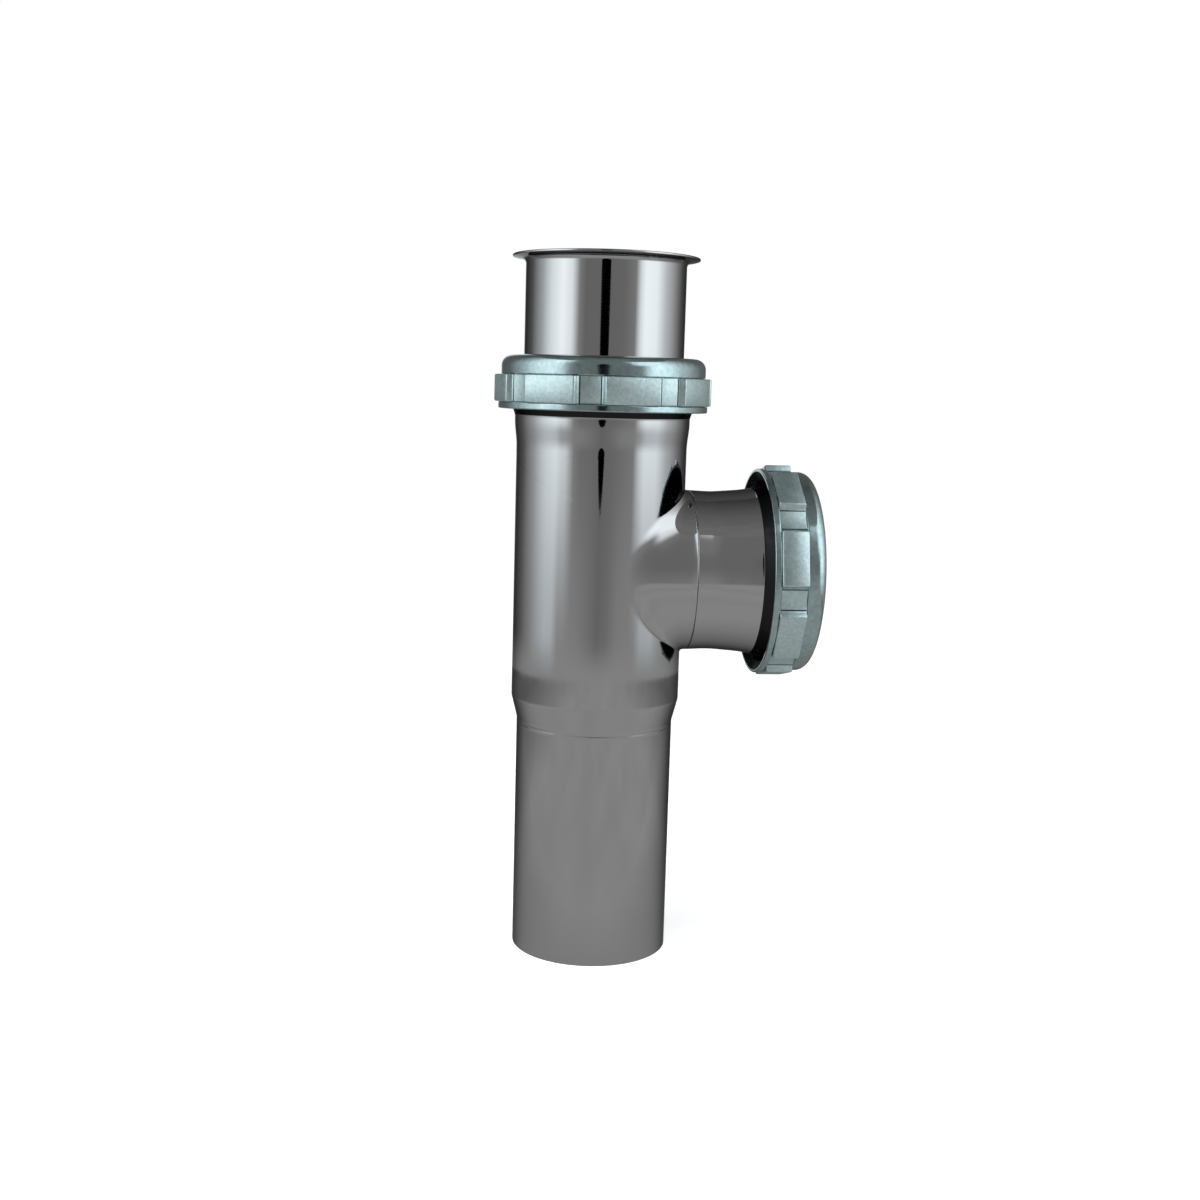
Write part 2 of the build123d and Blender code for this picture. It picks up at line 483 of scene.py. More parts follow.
# %% The surface that both tubes share
COLLAR_ROOT = 6.3 * MM
ROOT_RISE = 150
DRAW_ROUNDS = 12
ON_SURFACE = 1e-9


def softness(point, body, collar, crotch_bend, flank_bend):
    """Width over which the two tubes melt together, wider on the flanks than at the crotch."""
    x, y, z = point
    body_distance = hypot(x, y)
    collar_distance = hypot(y, z - BRANCH)
    between = min(1.0, y * y / (body_distance * collar_distance))
    side = min(1.0, abs(z - BRANCH) / collar)
    bend = crotch_bend + (flank_bend - crotch_bend) * (1 - side ** 2) ** 1.5
    return 4 * bend * (1 - sqrt((1 + between) / 2))


def draw_onto(point, body, collar, crotch_bend, flank_bend):
    """Move a point onto the surface shared by the body and the collar.

    The collar fades out behind its root, so that it leaves the body's far wall alone.
    """
    for _ in range(DRAW_ROUNDS):
        x, y, z = point
        body_gap = hypot(x, y) - body
        collar_gap = hypot(y, z - BRANCH) - collar
        collar_gap += ROOT_RISE * max(0.0, COLLAR_ROOT - x) ** 2
        soft = softness(point, body, collar, crotch_bend, flank_bend)
        share = max(soft - abs(body_gap - collar_gap), 0.0) / max(soft, ON_SURFACE)
        gap = min(body_gap, collar_gap) - share * share * soft / 4
        lean = share / 2 if body_gap < collar_gap else 1 - share / 2
        to_body = Vector((x, y, 0)).normalized()
        to_collar = Vector((0, y, z - BRANCH)).normalized()
        slope = to_body * (1 - lean) + to_collar * lean
        point = point - slope * (gap / slope.length_squared)
        if abs(gap) < ON_SURFACE:
            break
    return point


# %% Spokes from the collar's rim
SKIN_LOW = 66.0 * MM
SKIN_HIGH = 121.5 * MM
BACK_ROWS = 40
COLLAR_ROWS = 16
BODY_ROWS = 44
COLLAR_CROWD = 1.6
BODY_CROWD = 1.7
SPOKE_FAN = COLLAR * 1.32


def spoke_ends():
    """Where the spokes end: along the top, down the back, along the bottom and up the back."""
    turn = 2 * pi / SPIN_STEPS
    top = [(-pi + turn * step, SKIN_HIGH) for step in range(SPIN_STEPS + 1)]
    drop = (SKIN_HIGH - SKIN_LOW) / BACK_ROWS
    down = [(pi, SKIN_HIGH - drop * row) for row in range(1, BACK_ROWS)]
    bottom = [(angle, SKIN_LOW) for angle, _ in reversed(top)]
    up = [(-pi, height) for _, height in reversed(down)]
    return top + down + bottom + up


def spoke(angle, height, body, collar, rim_edge):
    """Points from the collar's rim to a place on the body given by its angle and height."""
    toward = atan2((height - BRANCH) / COLLAR, angle * BODY / SPOKE_FAN)
    across = collar * cos(toward)
    lift = collar * sin(toward)
    start_x = sqrt(body * body - across * across)
    points = []
    if rim_edge:
        dip = (collar - rim_edge) / collar
        points.append(Vector((COLLAR_REACH, across * dip, BRANCH + lift * dip)))
        for part in (30, 60):
            tuck = rim_edge * (1 - cos(radians(part)))
            inward = (collar - rim_edge * (1 - sin(radians(part)))) / collar
            points.append(Vector((COLLAR_REACH - tuck, across * inward, BRANCH + lift * inward)))
    run = COLLAR_REACH - rim_edge - start_x
    for step in range(COLLAR_ROWS):
        share = step / COLLAR_ROWS
        share = 1 - (1 - share) ** COLLAR_CROWD
        points.append(Vector((start_x + run * (1 - share), across, BRANCH + lift)))
    start_angle = atan2(across, start_x)
    for step in range(BODY_ROWS + 1):
        share = (step / BODY_ROWS) ** BODY_CROWD
        here = start_angle + (angle - start_angle) * share
        level_here = BRANCH + lift + (height - BRANCH - lift) * share
        points.append(Vector((body * cos(here), body * sin(here), level_here)))
    return points


# %% The skin of the saddle
def saddle_skin(name, body, collar, crotch_bend, flank_bend, rim_edge):
    """The middle of the tee: collar, saddle and body wall, as one grid of spokes."""
    fixed = 3 if rim_edge else 1
    rows = []
    for angle, height in spoke_ends():
        row = spoke(angle, height, body, collar, rim_edge)
        for place in range(fixed, len(row) - 1):
            row[place] = draw_onto(row[place], body, collar, crotch_bend, flank_bend)
        rows.append(row)
    across_count = len(rows[0])
    points = [point for row in rows for point in row]
    faces = []
    for count in range(len(rows)):
        following = (count + 1) % len(rows)
        for place in range(across_count - 1):
            first, second = count * across_count + place, following * across_count + place
            faces.append((first, first + 1, second + 1, second))
    return new_piece(name, points, (), faces), [row[0] for row in rows]


def rim_between(name, outer_ring, inner_ring):
    """The flat face that closes a wall between two rings of points."""
    count = len(outer_ring)
    points = [*outer_ring, *inner_ring]
    faces = [
        (step, (step + 1) % count, count + (step + 1) % count, count + step)
        for step in range(count)
    ]
    return new_piece(name, points, (), faces)


# %% [markdown]
# Below and above the saddle the body is turned. Each end's outline runs along one side of the
# wall, round its edge and back along the other side. It stays open towards the middle, where
# the saddle's two skins take over.

# %% Sizes of the body's ends
TAIL_LENGTH = 57.0 * MM
TAIL_BORE = TUBE - TUBE_WALL
TAIL_EDGE = 0.12 * MM
TAIL_BORE_EDGE = 0.2 * MM
SHOULDER = TAIL_LENGTH + 5.5 * MM
SWAGE_BEND = 3.0 * MM
SWAGE_FOOT_BEND = 2.0 * MM
TOOL_MARK = 0.03 * MM
MARK_DROPS = (0.7 * MM, 1.1 * MM, 1.5 * MM)
MARK_BEND = 0.8 * MM
FLARE = 0.5 * MM
FLARE_LAND = 2.0 * MM
FLARE_LENGTH = 4.4 * MM
FLARE_BEND = 20.0 * MM
CROTCH_BEND = 0.7 * MM
FLANK_BEND = 14.0 * MM
BORE_CROTCH_BEND = 0.3 * MM
BORE_FLANK_BEND = 0.6 * MM


# %% Tail, swage and threaded top
def open_outline(corners, bends):
    """A rounded outline that starts and ends at its first and last corners."""
    points = rounded(corners, bends)
    first = min(range(len(points)), key=lambda index: (points[index] - Vector(corners[0])).length)
    points = points[first:] + points[:first]
    last = min(range(len(points)), key=lambda index: (points[index] - Vector(corners[-1])).length)
    return points[:last + 1]


def body_tail():
    """The tail and its swage, with the slight ridge that the swaging tool leaves."""
    above, ridge, below = (TAIL_LENGTH - drop for drop in MARK_DROPS)
    corners = [
        (BODY, SKIN_LOW), (BODY, SHOULDER), (TUBE, TAIL_LENGTH), (TUBE, above),
        (TUBE + TOOL_MARK, ridge), (TUBE, below), (TUBE, 0.0),
        (TAIL_BORE, 0.0), (TAIL_BORE, TAIL_LENGTH), (SOCKET, SHOULDER), (SOCKET, SKIN_LOW),
    ]
    bends = [
        (1, SWAGE_BEND), (2, SWAGE_FOOT_BEND), (3, MARK_BEND), (4, MARK_BEND), (5, MARK_BEND),
        (6, TAIL_EDGE), (7, TAIL_BORE_EDGE), (8, SWAGE_BEND), (9, SWAGE_BEND),
    ]
    return spun("tail", open_outline(corners, bends), closed=False)


def body_top():
    """The threaded top, down through the step and the flare to the saddle's upper edge."""
    thread_start = BODY_TOP - THREAD_LENGTH
    foot = thread_start - STEP_LENGTH
    flare_end = foot - FLARE_LAND
    flare_start = flare_end - FLARE_LENGTH
    corners = [
        (SOCKET, SKIN_HIGH), (SOCKET, foot + BORE_LAG), (THREAD_BORE, thread_start + BORE_LAG),
        (THREAD_BORE, BODY_TOP), (THREAD, BODY_TOP), (THREAD, thread_start),
        (BODY + FLARE, foot), (BODY + FLARE, flare_end), (BODY, flare_start), (BODY, SKIN_HIGH),
    ]
    bends = [
        (3, EDGE), (4, EDGE), (5, STEP_BEND), (6, STEP_BEND), (7, FLARE_BEND), (8, FLARE_BEND),
    ]
    outline = with_thread_rows(open_outline(corners, bends), THREAD)
    piece = spun("top", outline, closed=False)
    cut_thread(piece, THREAD, thread_start, BODY_TOP - EDGE / 2, TUBE_THREAD_FADE)
    return piece


# %% The whole body as one closed mesh
def tee_body():
    outer, outer_ring = saddle_skin("tee_body_chrome", BODY, COLLAR, CROTCH_BEND, FLANK_BEND, EDGE)
    inner, inner_ring = saddle_skin(
        "inner", SOCKET, COLLAR - TUBE_WALL, BORE_CROTCH_BEND, BORE_FLANK_BEND, 0.0
    )
    rim = rim_between("rim", outer_ring, inner_ring)
    piece = join(outer, inner, rim, body_tail(), body_top())
    close_up(piece)
    return piece


tee = tee_body()
tell(tee)

# %% [markdown]
# The branch stub is brazed to the collar's rim. It is waisted, it swells towards its end,
# and it carries the same threaded slip end as the body. It is turned about Z and then laid
# along the branch.

# %% Branch stub
WAIST = TUBE + 0.15 * MM
NECK = TUBE + 0.7 * MM
FOOT = TUBE + 1.15 * MM
WAIST_REACH = COLLAR_REACH + 5.5 * MM
NECK_REACH = COLLAR_REACH + 12.3 * MM
GUIDE_LENGTH = 2.4 * MM
LONG_BEND = 30.0 * MM


def branch_stub():
    thread_start = STUB_END - THREAD_LENGTH
    foot_reach = thread_start - STEP_LENGTH
    guide_start = foot_reach + BORE_LAG
    guide_end = guide_start + GUIDE_LENGTH
    corners = [
        (COLLAR, COLLAR_REACH), (WAIST, WAIST_REACH), (NECK, NECK_REACH), (FOOT, foot_reach),
        (THREAD, thread_start), (THREAD, STUB_END), (THREAD_BORE, STUB_END),
        (THREAD_BORE, guide_end + BORE_LAG * 2), (SOCKET, guide_end), (SOCKET, guide_start),
        (NECK - TUBE_WALL, NECK_REACH), (WAIST - TUBE_WALL, WAIST_REACH),
        (COLLAR - TUBE_WALL, COLLAR_REACH),
    ]
    bends = [
        (0, EDGE), (1, LONG_BEND), (2, LONG_BEND), (3, STEP_BEND), (4, STEP_BEND), (5, EDGE),
        (6, EDGE), (11, LONG_BEND),
    ]
    piece = spun("branch_socket_chrome", with_thread_rows(rounded(corners, bends), THREAD))
    cut_thread(piece, THREAD, thread_start, STUB_END - EDGE / 2, TUBE_THREAD_FADE)
    piece.data.transform(TO_BRANCH)
    return piece


stub = branch_stub()
tell(stub)

# %% [markdown]
# The tailpiece is a plain thin tube with its top turned out into a flange. The flange is
# pressed, so it leaves the tube in a bend, runs out almost flat and ends in a thin lip.

# %% Flanged tailpiece
TAILPIECE_BORE = TUBE - 1.0 * MM
FLANGE_LIP = 0.5 * MM
FLANGE_SLOPE = 0.55 * MM
FLANGE_BEND = 1.3 * MM
FLANGE_NECK = 2.0 * MM
THIN_EDGE = EDGE * 0.6


def flanged_tailpiece():
    lowest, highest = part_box("flanged_tailpiece")
    low, high, rim = lowest.z, highest.z, highest.x
    lip_foot = high - FLANGE_LIP
    neck = lip_foot - FLANGE_SLOPE
    corners = [
        (TAILPIECE_BORE, low), (TUBE, low), (TUBE, neck), (rim, lip_foot), (rim, high),
        (TAILPIECE_BORE, high),
    ]
    bends = [
        (0, THIN_EDGE), (1, THIN_EDGE), (2, FLANGE_BEND), (3, THIN_EDGE), (4, EDGE), (5, FLANGE_NECK),
    ]
    return spun("flanged_tailpiece_chrome", rounded(corners, bends))


tailpiece = flanged_tailpiece()
tell(tailpiece)

# %% [markdown]
# A slip nut is a turned ring and shoulder with a band of eight flat wrench lugs between them.
# The turned part is spun, bore included, and its mouth is countersunk. The band is drawn as a
# ring between the lugs' outline and a circle inside the nut's wall, and raised by an extrude.
# Bevel softens its edges, because the bright line along each edge shows a casting's real
# size. A Boolean then makes the two one, and the thread is cut last.

# %% Sizes of a nut
NUT_HEIGHT = 12.6 * MM
WEB_FACE = NUT_HEIGHT - 2.0 * MM
NUT_THREAD = THREAD + 0.15 * MM
NUT_RING = NUT_THREAD + 2.8 * MM
NUT_SHOULDER = NUT_THREAD + 2.15 * MM
NUT_HOLE = TUBE + 0.45 * MM
RING_HEIGHT = 1.6 * MM
LUG_HEIGHT = 6.4 * MM
BAND_TOP = RING_HEIGHT + LUG_HEIGHT
LUGS = 8
LUG_FLAT = NUT_THREAD + 3.0 * MM
LUG_EDGE = 0.3 * MM
NOTCH_MOUTH = 7.3 * MM
NOTCH_FLOOR = 5.8 * MM
NOTCH_DEPTH = 1.3 * MM
NOTCH_SAG = 0.3 * MM
SAG_STEPS = 6
MOUTH_TO_SEAT = 8.0 * MM
BAND_BORE = NUT_THREAD + 1.0 * MM
MOUTH_RIM = 0.7 * MM
MOUTH_SINK = 1.2 * MM
MOUTH_EDGE = 0.12 * MM
CORE = LUG_FLAT - 1.3 * MM
RELIEF = NUT_THREAD + 0.3 * MM
RELIEF_START = WEB_FACE - 2.4 * MM
SHOULDER_ROUND = 2.5 * MM
HOLE_ROUND = 0.4 * MM
WEB_EDGE = 0.3 * MM


# %% The turned part of a nut
def nut_core(name):
    corners = [
        (NUT_RING - MOUTH_RIM, 0), (NUT_RING, 0), (NUT_RING, RING_HEIGHT), (CORE, RING_HEIGHT),
        (CORE, BAND_TOP), (NUT_SHOULDER, BAND_TOP), (NUT_SHOULDER, NUT_HEIGHT),
        (NUT_HOLE, NUT_HEIGHT), (NUT_HOLE, WEB_FACE), (RELIEF, WEB_FACE), (RELIEF, RELIEF_START),
        (NUT_THREAD, RELIEF_START), (NUT_THREAD, MOUTH_SINK),
    ]
    bends = [
        (0, MOUTH_EDGE), (1, LUG_EDGE), (2, LUG_EDGE), (5, LUG_EDGE), (6, SHOULDER_ROUND),
        (7, HOLE_ROUND), (8, WEB_EDGE),
    ]
    return spun(name, with_thread_rows(rounded(corners, bends), NUT_THREAD))


# %% The band of lugs
def lug_outline():
    """Outline of the lugs and of the hollow notches between them."""
    half_step = pi / LUGS
    half_mouth, half_floor = NOTCH_MOUTH / 2, NOTCH_FLOOR / 2
    mouth_reach = (LUG_FLAT - half_mouth * sin(half_step)) / cos(half_step)
    floor_reach = mouth_reach - NOTCH_DEPTH
    floor = [
        (floor_reach - NOTCH_SAG * (1 - (step / SAG_STEPS) ** 2), half_floor * step / SAG_STEPS)
        for step in range(-SAG_STEPS, SAG_STEPS + 1)
    ]
    notch = [(mouth_reach, -half_mouth), *floor, (mouth_reach, half_mouth)]
    points = []
    for index in range(LUGS):
        turn = Matrix.Rotation(2 * pi * (index + 0.5) / LUGS, 2)
        points += [turn @ Vector(corner) for corner in notch]
    return points


def lug_band(name):
    """The ring of lugs, with its outer edges bevelled."""
    outline = lug_outline()
    count = len(outline)
    points = [(point.x, point.y, RING_HEIGHT) for point in outline]
    piece = new_piece(name, points, [(index, (index + 1) % count) for index in range(count)])
    bpy.ops.object.mode_set(mode="EDIT")
    bpy.ops.mesh.primitive_circle_add(vertices=count, radius=BAND_BORE, location=(0, 0, RING_HEIGHT))
    bpy.ops.mesh.select_all(action="SELECT")
    bpy.ops.mesh.bridge_edge_loops()
    bpy.ops.mesh.select_all(action="SELECT")
    bpy.ops.mesh.extrude_region_move(TRANSFORM_OT_translate={"value": (0, 0, LUG_HEIGHT)})
    bpy.ops.object.mode_set(mode="OBJECT")
    close_up(piece)
    for edge in piece.data.edges:
        ends = [piece.data.vertices[index].co for index in edge.vertices]
        edge.select = all(hypot(end.x, end.y) > LUG_FLAT - 0.1 * MM for end in ends)
    bpy.context.tool_settings.mesh_select_mode = (False, True, False)
    bpy.ops.object.mode_set(mode="EDIT")
    bpy.ops.mesh.bevel(offset=LUG_EDGE, segments=3, affect="EDGES")
    bpy.ops.object.mode_set(mode="OBJECT")
    return piece


# %% Finishes of a nut
LUG_STEP = 2 * pi / LUGS
EDGE_MARGIN = 0.02 * MM
CORNER_WIDTH = 0.5 * MM


def nut_finishes(nut):
    """Grain on the lugs, painted shade in the mouth, the thread and the corners of the notches."""
    dress(nut, zinc_smooth, zinc_grainy, painted_shade_zinc)
    corner_reach = NOTCH_FLOOR / 2
    for face in nut.data.polygons:
        x, y, z = face.center
        reach = hypot(x, y)
        outwards = (x * face.normal.x + y * face.normal.y) / reach
        swing = (atan2(y, x) - pi / LUGS) % LUG_STEP
        swing = min(swing, LUG_STEP - swing)
        in_band = RING_HEIGHT + EDGE_MARGIN < z < BAND_TOP - EDGE_MARGIN
        # The third finish is painted shade: near-black strips in the notches' corners, and a dark
        # thread, bore and mouth.
        if in_band and reach > NUT_SHOULDER - 0.3 * MM:
            aside = reach * sin(swing)
            corner = corner_reach - CORNER_WIDTH < aside < corner_reach + EDGE_MARGIN
            face.material_index = 2 if corner and outwards > 0.9 else 1
        elif reach < NUT_THREAD + 0.5 * MM and z < WEB_FACE + 0.1 * MM:
            face.material_index = 2
        elif z < MOUTH_SINK and outwards < -0.1:
            face.material_index = 2


# %% Nuts
def slip_nut(name, turn, height):
    """A nut about Z with its mouth at this height, turned in degrees, with its thread in step."""
    core = nut_core(name)
    lugs = lug_band("lugs")
    hold(core)
    union = core.modifiers.new("union", "BOOLEAN")
    union.operation = "UNION"
    union.solver = "MANIFOLD"
    union.object = lugs
    bpy.ops.object.modifier_apply(modifier="union")
    bpy.data.objects.remove(lugs)
    nut_finishes(core)
    place = Matrix.Translation((0, 0, height)) @ Matrix.Rotation(radians(turn), 4, "Z")
    core.data.transform(place)
    thread_low = height + MOUTH_SINK - 0.1 * MM
    cut_thread(core, NUT_THREAD, thread_low, height + RELIEF_START, NUT_THREAD_FADE)
    return core


top_nut = slip_nut("top_slip_nut_zinc", 10.0, BODY_TOP - MOUTH_TO_SEAT)
branch_nut = slip_nut("branch_slip_nut_zinc", 31.5, STUB_END - MOUTH_TO_SEAT)
branch_nut.data.transform(TO_BRANCH)
tell(top_nut, branch_nut)

# %% [markdown]
# Each joint is sealed by a rubber washer. Its flat rim sits under the nut's web, and its
# tapered nose goes down into the threaded end. The rubber's edges are soft, not sharp.

# %% Washers
SEAT_GAP = 0.2 * MM
WASHER_RIM = NUT_THREAD - 0.2 * MM
WASHER_RIM_HEIGHT = 2.2 * MM
WASHER_NOSE = THREAD_BORE - 0.2 * MM
WASHER_NOSE_LENGTH = 3.0 * MM
WASHER_TAPER = 0.8 * MM


def slip_washer(name, seat):
    low, rim_foot = seat - WASHER_NOSE_LENGTH, seat + SEAT_GAP
    high = rim_foot + WASHER_RIM_HEIGHT
    corners = [
        (SOCKET, low), (WASHER_NOSE - WASHER_TAPER, low), (WASHER_NOSE, rim_foot),
        (WASHER_RIM, rim_foot), (WASHER_RIM, high), (SOCKET, high),
    ]
    bends = [(0, 0.15 * MM), (1, 0.25 * MM), (3, 0.3 * MM), (4, 0.3 * MM), (5, 0.2 * MM)]
    return spun(name, rounded(corners, bends))


top_washer = slip_washer("top_slip_washer_rubber", BODY_TOP)
branch_washer = slip_washer("branch_slip_washer_rubber", STUB_END)
branch_washer.data.transform(TO_BRANCH)
tell(top_washer, branch_washer)

# %% [markdown]
# Now every piece is shaded smooth, and the tubes and washers get their finishes, as the nuts
# have theirs already. Faces of one piece can carry different ones: a tube is chrome outside,
# bare brass in its bore, and near-black metal, painted shade, on its step and thread.

# %% Smooth shading
def smooth(piece, angle=30):
    """Shade a piece smooth, with edges sharper than this angle left crisp."""
    hold(piece)
    bpy.ops.object.shade_smooth_by_angle(angle=radians(angle))


for piece in (tee, stub, tailpiece, top_nut, branch_nut, top_washer, branch_washer):
    smooth(piece)

# %% Faces inside and faces of a joint
def away(face, origin, axis):
    """How far a face lies along an axis, and its arm straight out from that axis."""
    arm = face.center - origin
    along = arm.dot(axis)
    return along, arm - axis * along


def bore_faces(piece, origin, axis, limit, highest=inf):
    """Give the second finish to faces that look inwards at the axis, up to a height."""
    for face in piece.data.polygons:
        along, out = away(face, origin, axis)
        if out.length < limit and face.normal.dot(out) < 0 and along < highest:
            face.material_index = 1


def joint_faces(piece, origin, axis, start):
    """Give the third finish, the painted shade, to the outside of a slip end, from its step's foot."""
    for face in piece.data.polygons:
        along, out = away(face, origin, axis)
        if along > start and out.length > TUBE and face.normal.dot(out) > -0.5 * out.length:
            face.material_index = 2


# %% Finishes of the tubes and washers
UP = Vector((0, 0, 1))
OUT = Vector((1, 0, 0))
BASE = Vector()
BRANCH_START = Vector((0, 0, BRANCH))
BORE_MARGIN = 0.6 * MM
PLATED_DEPTH = 12 * MM
SLIP_END = THREAD_LENGTH + STEP_LENGTH
# The third finish of the tee and the stub is painted shade on their slip ends.
dress(tee, chrome_upright, brass, painted_shade_chrome)
bore_faces(tee, BASE, UP, BODY - BORE_MARGIN)
joint_faces(tee, BASE, UP, BODY_TOP - SLIP_END)
dress(stub, chrome_level, brass, painted_shade_chrome)
bore_faces(stub, BRANCH_START, OUT, THREAD - BORE_MARGIN)
joint_faces(stub, BRANCH_START, OUT, STUB_END - SLIP_END)
dress(tailpiece, chrome_upright, brass)
bore_faces(tailpiece, BASE, UP, TUBE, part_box("flanged_tailpiece")[1].z - PLATED_DEPTH)
for washer in (top_washer, branch_washer):
    dress(washer, rubber)

# %% [markdown]
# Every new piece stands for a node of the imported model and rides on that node's body, so
# that it moves when the joint does.

# %% Bodies, nodes and slots
for piece, node, body, slot in (
    (tee, "tee_body", "tee", "chromed_tube"),
    (stub, "branch_socket", "tee", "chromed_tube"),
    (tailpiece, "flanged_tailpiece", "tailpiece", "chromed_tailpiece"),
    (top_nut, "top_slip_nut", "top_nut", "cast_zinc"),
    (branch_nut, "branch_slip_nut", "branch_nut", "cast_zinc"),
    (top_washer, "top_slip_washer", "top_washer", "black_rubber"),
    (branch_washer, "branch_slip_washer", "branch_washer", "black_rubber"),
):
    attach(piece, body)
    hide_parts(node)
    print(piece.name, "rides on", body)

# %% [markdown]
# Chrome has no look of its own: it shows what stands round it. The photograph's bright bands
# are two tall soft lamps left and right, and the grey between them is a grey wall and table.
# So the object stands in a round tent that lights it, and that the camera looks through. The
# wall carries the lamps as soft-edged stripes, in three rings that blend upwards, and plain
# grey along its foot. A narrow stripe at the back lights the chrome when it is seen from
# behind.

# %% Tones of the tent's wall
WALL_HIGH = (
    (-180, 0.14), (-176, 1.00), (-168, 1.00), (-160, 0.20), (-150, 0.13), (-125, 0.20), (-98, 0.75),
    (-80, 1.50), (-61, 1.95), (-47, 1.60), (-36, 0.40), (-27, 0.26), (-15, 0.27), (14, 0.26),
    (27, 0.28), (42, 0.38), (50, 1.5), (57, 1.95), (76, 1.85), (93, 1.05), (117, 0.50), (135, 0.22),
    (154, 0.14), (180, 0.14),
)
WALL_LOW = (
    (-180, 0.14), (-176, 0.55), (-168, 0.55), (-160, 0.20), (-150, 0.14), (-125, 0.24), (-104, 0.42),
    (-88, 0.66), (-74, 0.84), (-63, 0.80), (-54, 0.45), (-27, 0.42), (-14, 0.35), (0, 0.26),
    (12, 0.31), (26, 0.42), (50, 0.44), (60, 0.74), (76, 0.78), (93, 0.50), (117, 0.30), (135, 0.20),
    (154, 0.14), (180, 0.14),
)
WALL_TOP = (
    (-180, 0.14), (-176, 1.00), (-168, 1.00), (-160, 0.20), (-150, 0.12), (-125, 0.20), (-98, 0.75),
    (-80, 1.50), (-61, 1.95), (-47, 1.60), (-36, 0.40), (-27, 0.26), (-15, 0.26), (20, 0.27),
    (31, 0.36), (38, 1.35), (50, 1.85), (76, 1.80), (93, 1.05), (117, 0.50), (135, 0.22),
    (154, 0.14), (180, 0.14),
)
WALL_FOOT = (0.24, 0.24, 0.24)
WALL_PEAK = 2.0
LAMP_LIGHT = 0.6
LAMP_TINT = (0.93, 1.0, 1.03)
TENT_RADIUS = 0.37
TENT_HEIGHT = 0.60
FOOT_TO_LOW = (0.0, 0.022)
LOW_TO_HIGH = (0.0, 0.17)
HIGH_TO_TOP = (0.20, 0.32)
CAMERA_TURN = atan2(CAMERA_PLACE.x, -CAMERA_PLACE.y)


def tone_ring(finish, turn, stops):
    """A colour ramp round the wall, from stops of (degrees from the camera, light)."""
    ramp = finish.node("ShaderNodeValToRGB")
    elements = ramp.color_ramp.elements
    for place, (angle, light) in enumerate(stops):
        stop = elements[place] if place < 2 else elements.new(1.0)
        stop.position = (angle + 180) / 360
        tint = LAMP_TINT if light > LAMP_LIGHT else (1, 1, 1)
        stop.color = (*(light / WALL_PEAK * part for part in tint), 1)
    finish.link(turn, ramp.inputs[0])
    return ramp.outputs["Color"]


def climb(finish, height, low, high):
    """0 to 1, slow at both ends, between two heights above the floor."""
    made = finish.node("ShaderNodeMapRange", interpolation_type="SMOOTHSTEP")
    made.inputs["From Min"].default_value = low - TENT_HEIGHT / 2
    made.inputs["From Max"].default_value = high - TENT_HEIGHT / 2
    finish.link(height, made.inputs["Value"])
    return made.outputs["Result"]


# %% The tent's wall
def tent_wall():
    finish = Finish("tent_wall", (0, 0, 0))
    parts = finish.node("ShaderNodeSeparateXYZ")
    finish.link(finish.place, parts.inputs[0])
    height = parts.outputs["Z"]
    toward = finish.work_out("MULTIPLY", parts.outputs["Y"], -1)
    turn = finish.work_out("ARCTAN2", parts.outputs["X"], toward)
    share = finish.spread(turn, 0, 1, -pi, pi)
    low, high, top = (tone_ring(finish, share, ring) for ring in (WALL_LOW, WALL_HIGH, WALL_TOP))
    upper = finish.blend(climb(finish, height, *HIGH_TO_TOP), high, top)
    whole = finish.blend(climb(finish, height, *LOW_TO_HIGH), low, upper)
    seen = finish.blend(climb(finish, height, *FOOT_TO_LOW), WALL_FOOT, whole)
    return finish.show(finish.glow(seen, WALL_PEAK))


# %% [markdown]
# The ceiling and the table are grey sheets whose glow changes with the distance from a point,
# so each is given as (point, near and far distance, light at those two). A faint unevenness
# keeps their reflections from looking computed.

# %% Glowing sheets
GLOW_UNEVEN_SIZE = 0.08
GLOW_UNEVEN_RANGE = (0.94, 1.05)
CEILING_LIGHT = ((0.0, 0.40, 0.0), 0.15, 0.65, 0.09, 0.285)
# Painted shadow: the table's glow is lowest round a point just behind the object.
TABLE_SHADOW_SPOT = ((0.02, 0.14, 0), 0.05, 0.20, 0.18, 0.48)
TABLE_FADE = ((0, -0.15, 0), 0.22, 0.40, 1.0, 0.42)


def away_from(finish, centre, near, far, near_light, far_light):
    """A value that runs evenly between two distances from a point."""
    shift = finish.node("ShaderNodeMapping")
    shift.inputs["Location"].default_value = [-part for part in centre]
    finish.link(finish.place, shift.inputs["Vector"])
    distance = finish.node("ShaderNodeVectorMath", operation="LENGTH")
    finish.link(shift.outputs[0], distance.inputs[0])
    return finish.spread(distance.outputs["Value"], near_light, far_light, near, far)


def graded(name, *values):
    """A sheet that glows with the product of these values."""
    finish = Finish(name, (0, 0, 0))
    light = away_from(finish, *values[0])
    for value in values[1:]:
        light = finish.work_out("MULTIPLY", light, away_from(finish, *value))
    # A faint random unevenness in the sheet's glow.
    uneven_glow = finish.spread(finish.noise(GLOW_UNEVEN_SIZE, detail=1.5), *GLOW_UNEVEN_RANGE)
    light = finish.work_out("MULTIPLY", light, uneven_glow)
    return finish.show(finish.glow((1, 1, 1), light))


# %% [markdown]
# The photograph's background is plain white, because the object was cut out of it. The camera
# looks through the tent onto a white floor and a white world, and the grey table lies on that
# floor for reflections alone. The floor's glow leaves room for the lamp to draw a shadow.

# %% The white floor
FLOOR_GLOW = 0.61
FLOOR_WHITE = (0.80, 0.80, 0.80)


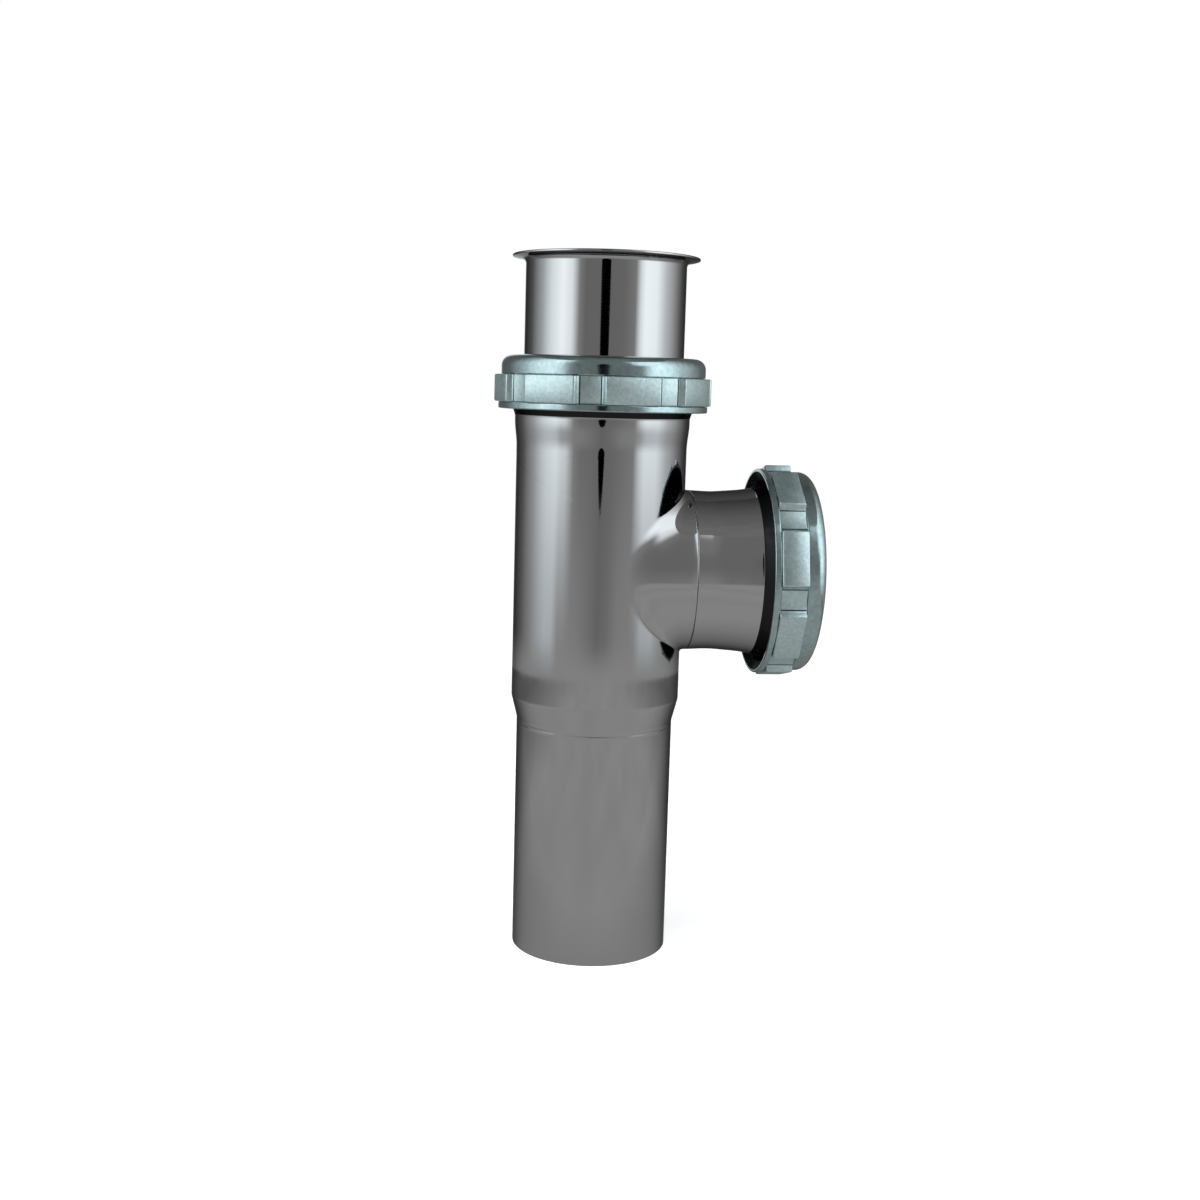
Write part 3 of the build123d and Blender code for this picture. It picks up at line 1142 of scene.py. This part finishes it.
def seen_directly(tree):
    """1 for rays from the camera, from shiny surfaces and through clear ones, 0 for others."""
    path = tree.nodes.new("ShaderNodeLightPath")
    seen = path.outputs["Is Camera Ray"]
    for ray in ("Is Glossy Ray", "Is Transmission Ray"):
        either = tree.nodes.new("ShaderNodeMath")
        either.operation = "MAXIMUM"
        tree.links.new(seen, either.inputs[0])
        tree.links.new(path.outputs[ray], either.inputs[1])
        seen = either.outputs[0]
    return seen


def floor_material():
    finish = Finish("floor", FLOOR_WHITE, roughness=0.9)
    finish.shader.inputs["Specular IOR Level"].default_value = 0.0
    shown = finish.work_out("MULTIPLY", seen_directly(finish.tree), FLOOR_GLOW)
    both = finish.node("ShaderNodeAddShader")
    finish.link(finish.shader.outputs[0], both.inputs[0])
    finish.link(finish.glow((1, 1, 1), shown), both.inputs[1])
    return finish.show(both.outputs[0])


# %% Tent, ceiling and floor
TABLE_LIFT = 0.1 * MM
FLOOR_SIZE = 30


def disc(name, height, radius=TENT_RADIUS, vertices=96):
    let_go()
    bpy.ops.mesh.primitive_circle_add(
        vertices=vertices, radius=radius, fill_type="NGON", location=(0, 0, height)
    )
    bpy.context.object.name = name
    return bpy.context.object


let_go()
bpy.ops.mesh.primitive_cylinder_add(
    vertices=128, radius=TENT_RADIUS, depth=TENT_HEIGHT, end_fill_type="NOTHING",
    location=(0, 0, TENT_HEIGHT / 2),
)
wall = bpy.context.object
wall.name = "tent_wall"
wall.rotation_euler.z = CAMERA_TURN
ceiling = disc("tent_ceiling", TENT_HEIGHT)
let_go()
bpy.ops.mesh.primitive_plane_add(size=FLOOR_SIZE)
floor = bpy.context.object
floor.name = "floor"
table = disc("tent_floor", TABLE_LIFT)
dress(wall, tent_wall())
dress(ceiling, graded("tent_ceiling", CEILING_LIGHT))
dress(floor, floor_material())
dress(table, graded("tent_floor", TABLE_SHADOW_SPOT, TABLE_FADE))

# %% [markdown]
# Straight ahead, the photograph's tubes reflect a thin black line, and where it ends it tapers
# off. That is the dark gap in front of the camera, so a black oval stands there.

# %% Dark gap by the camera
SHADE_SIZE = (0.040, 0.115, 1)
SHADE_HEIGHT = 0.195
SHADE_SHARE = 0.98
shade = disc("camera_shade", 0, 1, 48)
shade.scale = SHADE_SIZE
shade.rotation_euler = (radians(90), 0, CAMERA_TURN)
shade.location = (CAMERA_PLACE.x * SHADE_SHARE, CAMERA_PLACE.y * SHADE_SHARE, SHADE_HEIGHT)
black = Finish("camera_shade", (0, 0, 0))
dress(shade, black.show(black.glow((0, 0, 0), 1.0)))
for sheet in (wall, ceiling, table, shade):
    sheet.visible_camera = False
    sheet.visible_shadow = False
table.visible_diffuse = False

# %% [markdown]
# The world is white for the camera and in reflections, and half as strong for the light that
# it throws. One soft lamp overhead draws the object's shadow on the floor. Reflections leave
# it out, because the lamps that the chrome shows are those on the tent's wall.

# %% World
SKY_FOR_LIGHT = 0.5
world = bpy.data.worlds.new("studio")
bpy.context.scene.world = world
world.use_nodes = True
sky = world.node_tree.nodes["Background"]
sky.inputs["Color"].default_value = (1, 1, 1, 1)
strength = world.node_tree.nodes.new("ShaderNodeMapRange")
strength.inputs["To Min"].default_value = SKY_FOR_LIGHT
strength.inputs["To Max"].default_value = 1.0
links = world.node_tree.links
links.new(seen_directly(world.node_tree), strength.inputs["Value"])
links.new(strength.outputs["Result"], sky.inputs["Strength"])

# %% Lamp
lamp_data = bpy.data.lights.new("overhead", "AREA")
lamp_data.size = 0.35
lamp_data.energy = 2.0
lamp = bpy.data.objects.new("overhead", lamp_data)
lamp.location = (-0.12, -0.10, 0.55)
lamp_aim = Vector((0, 0, 0.08))
lamp.rotation_euler = (lamp_aim - lamp.location).to_track_quat("-Z", "Y").to_euler()
lamp.visible_glossy = False
bpy.context.scene.collection.objects.link(lamp)
bpy.context.scene.view_settings.view_transform = "Standard"
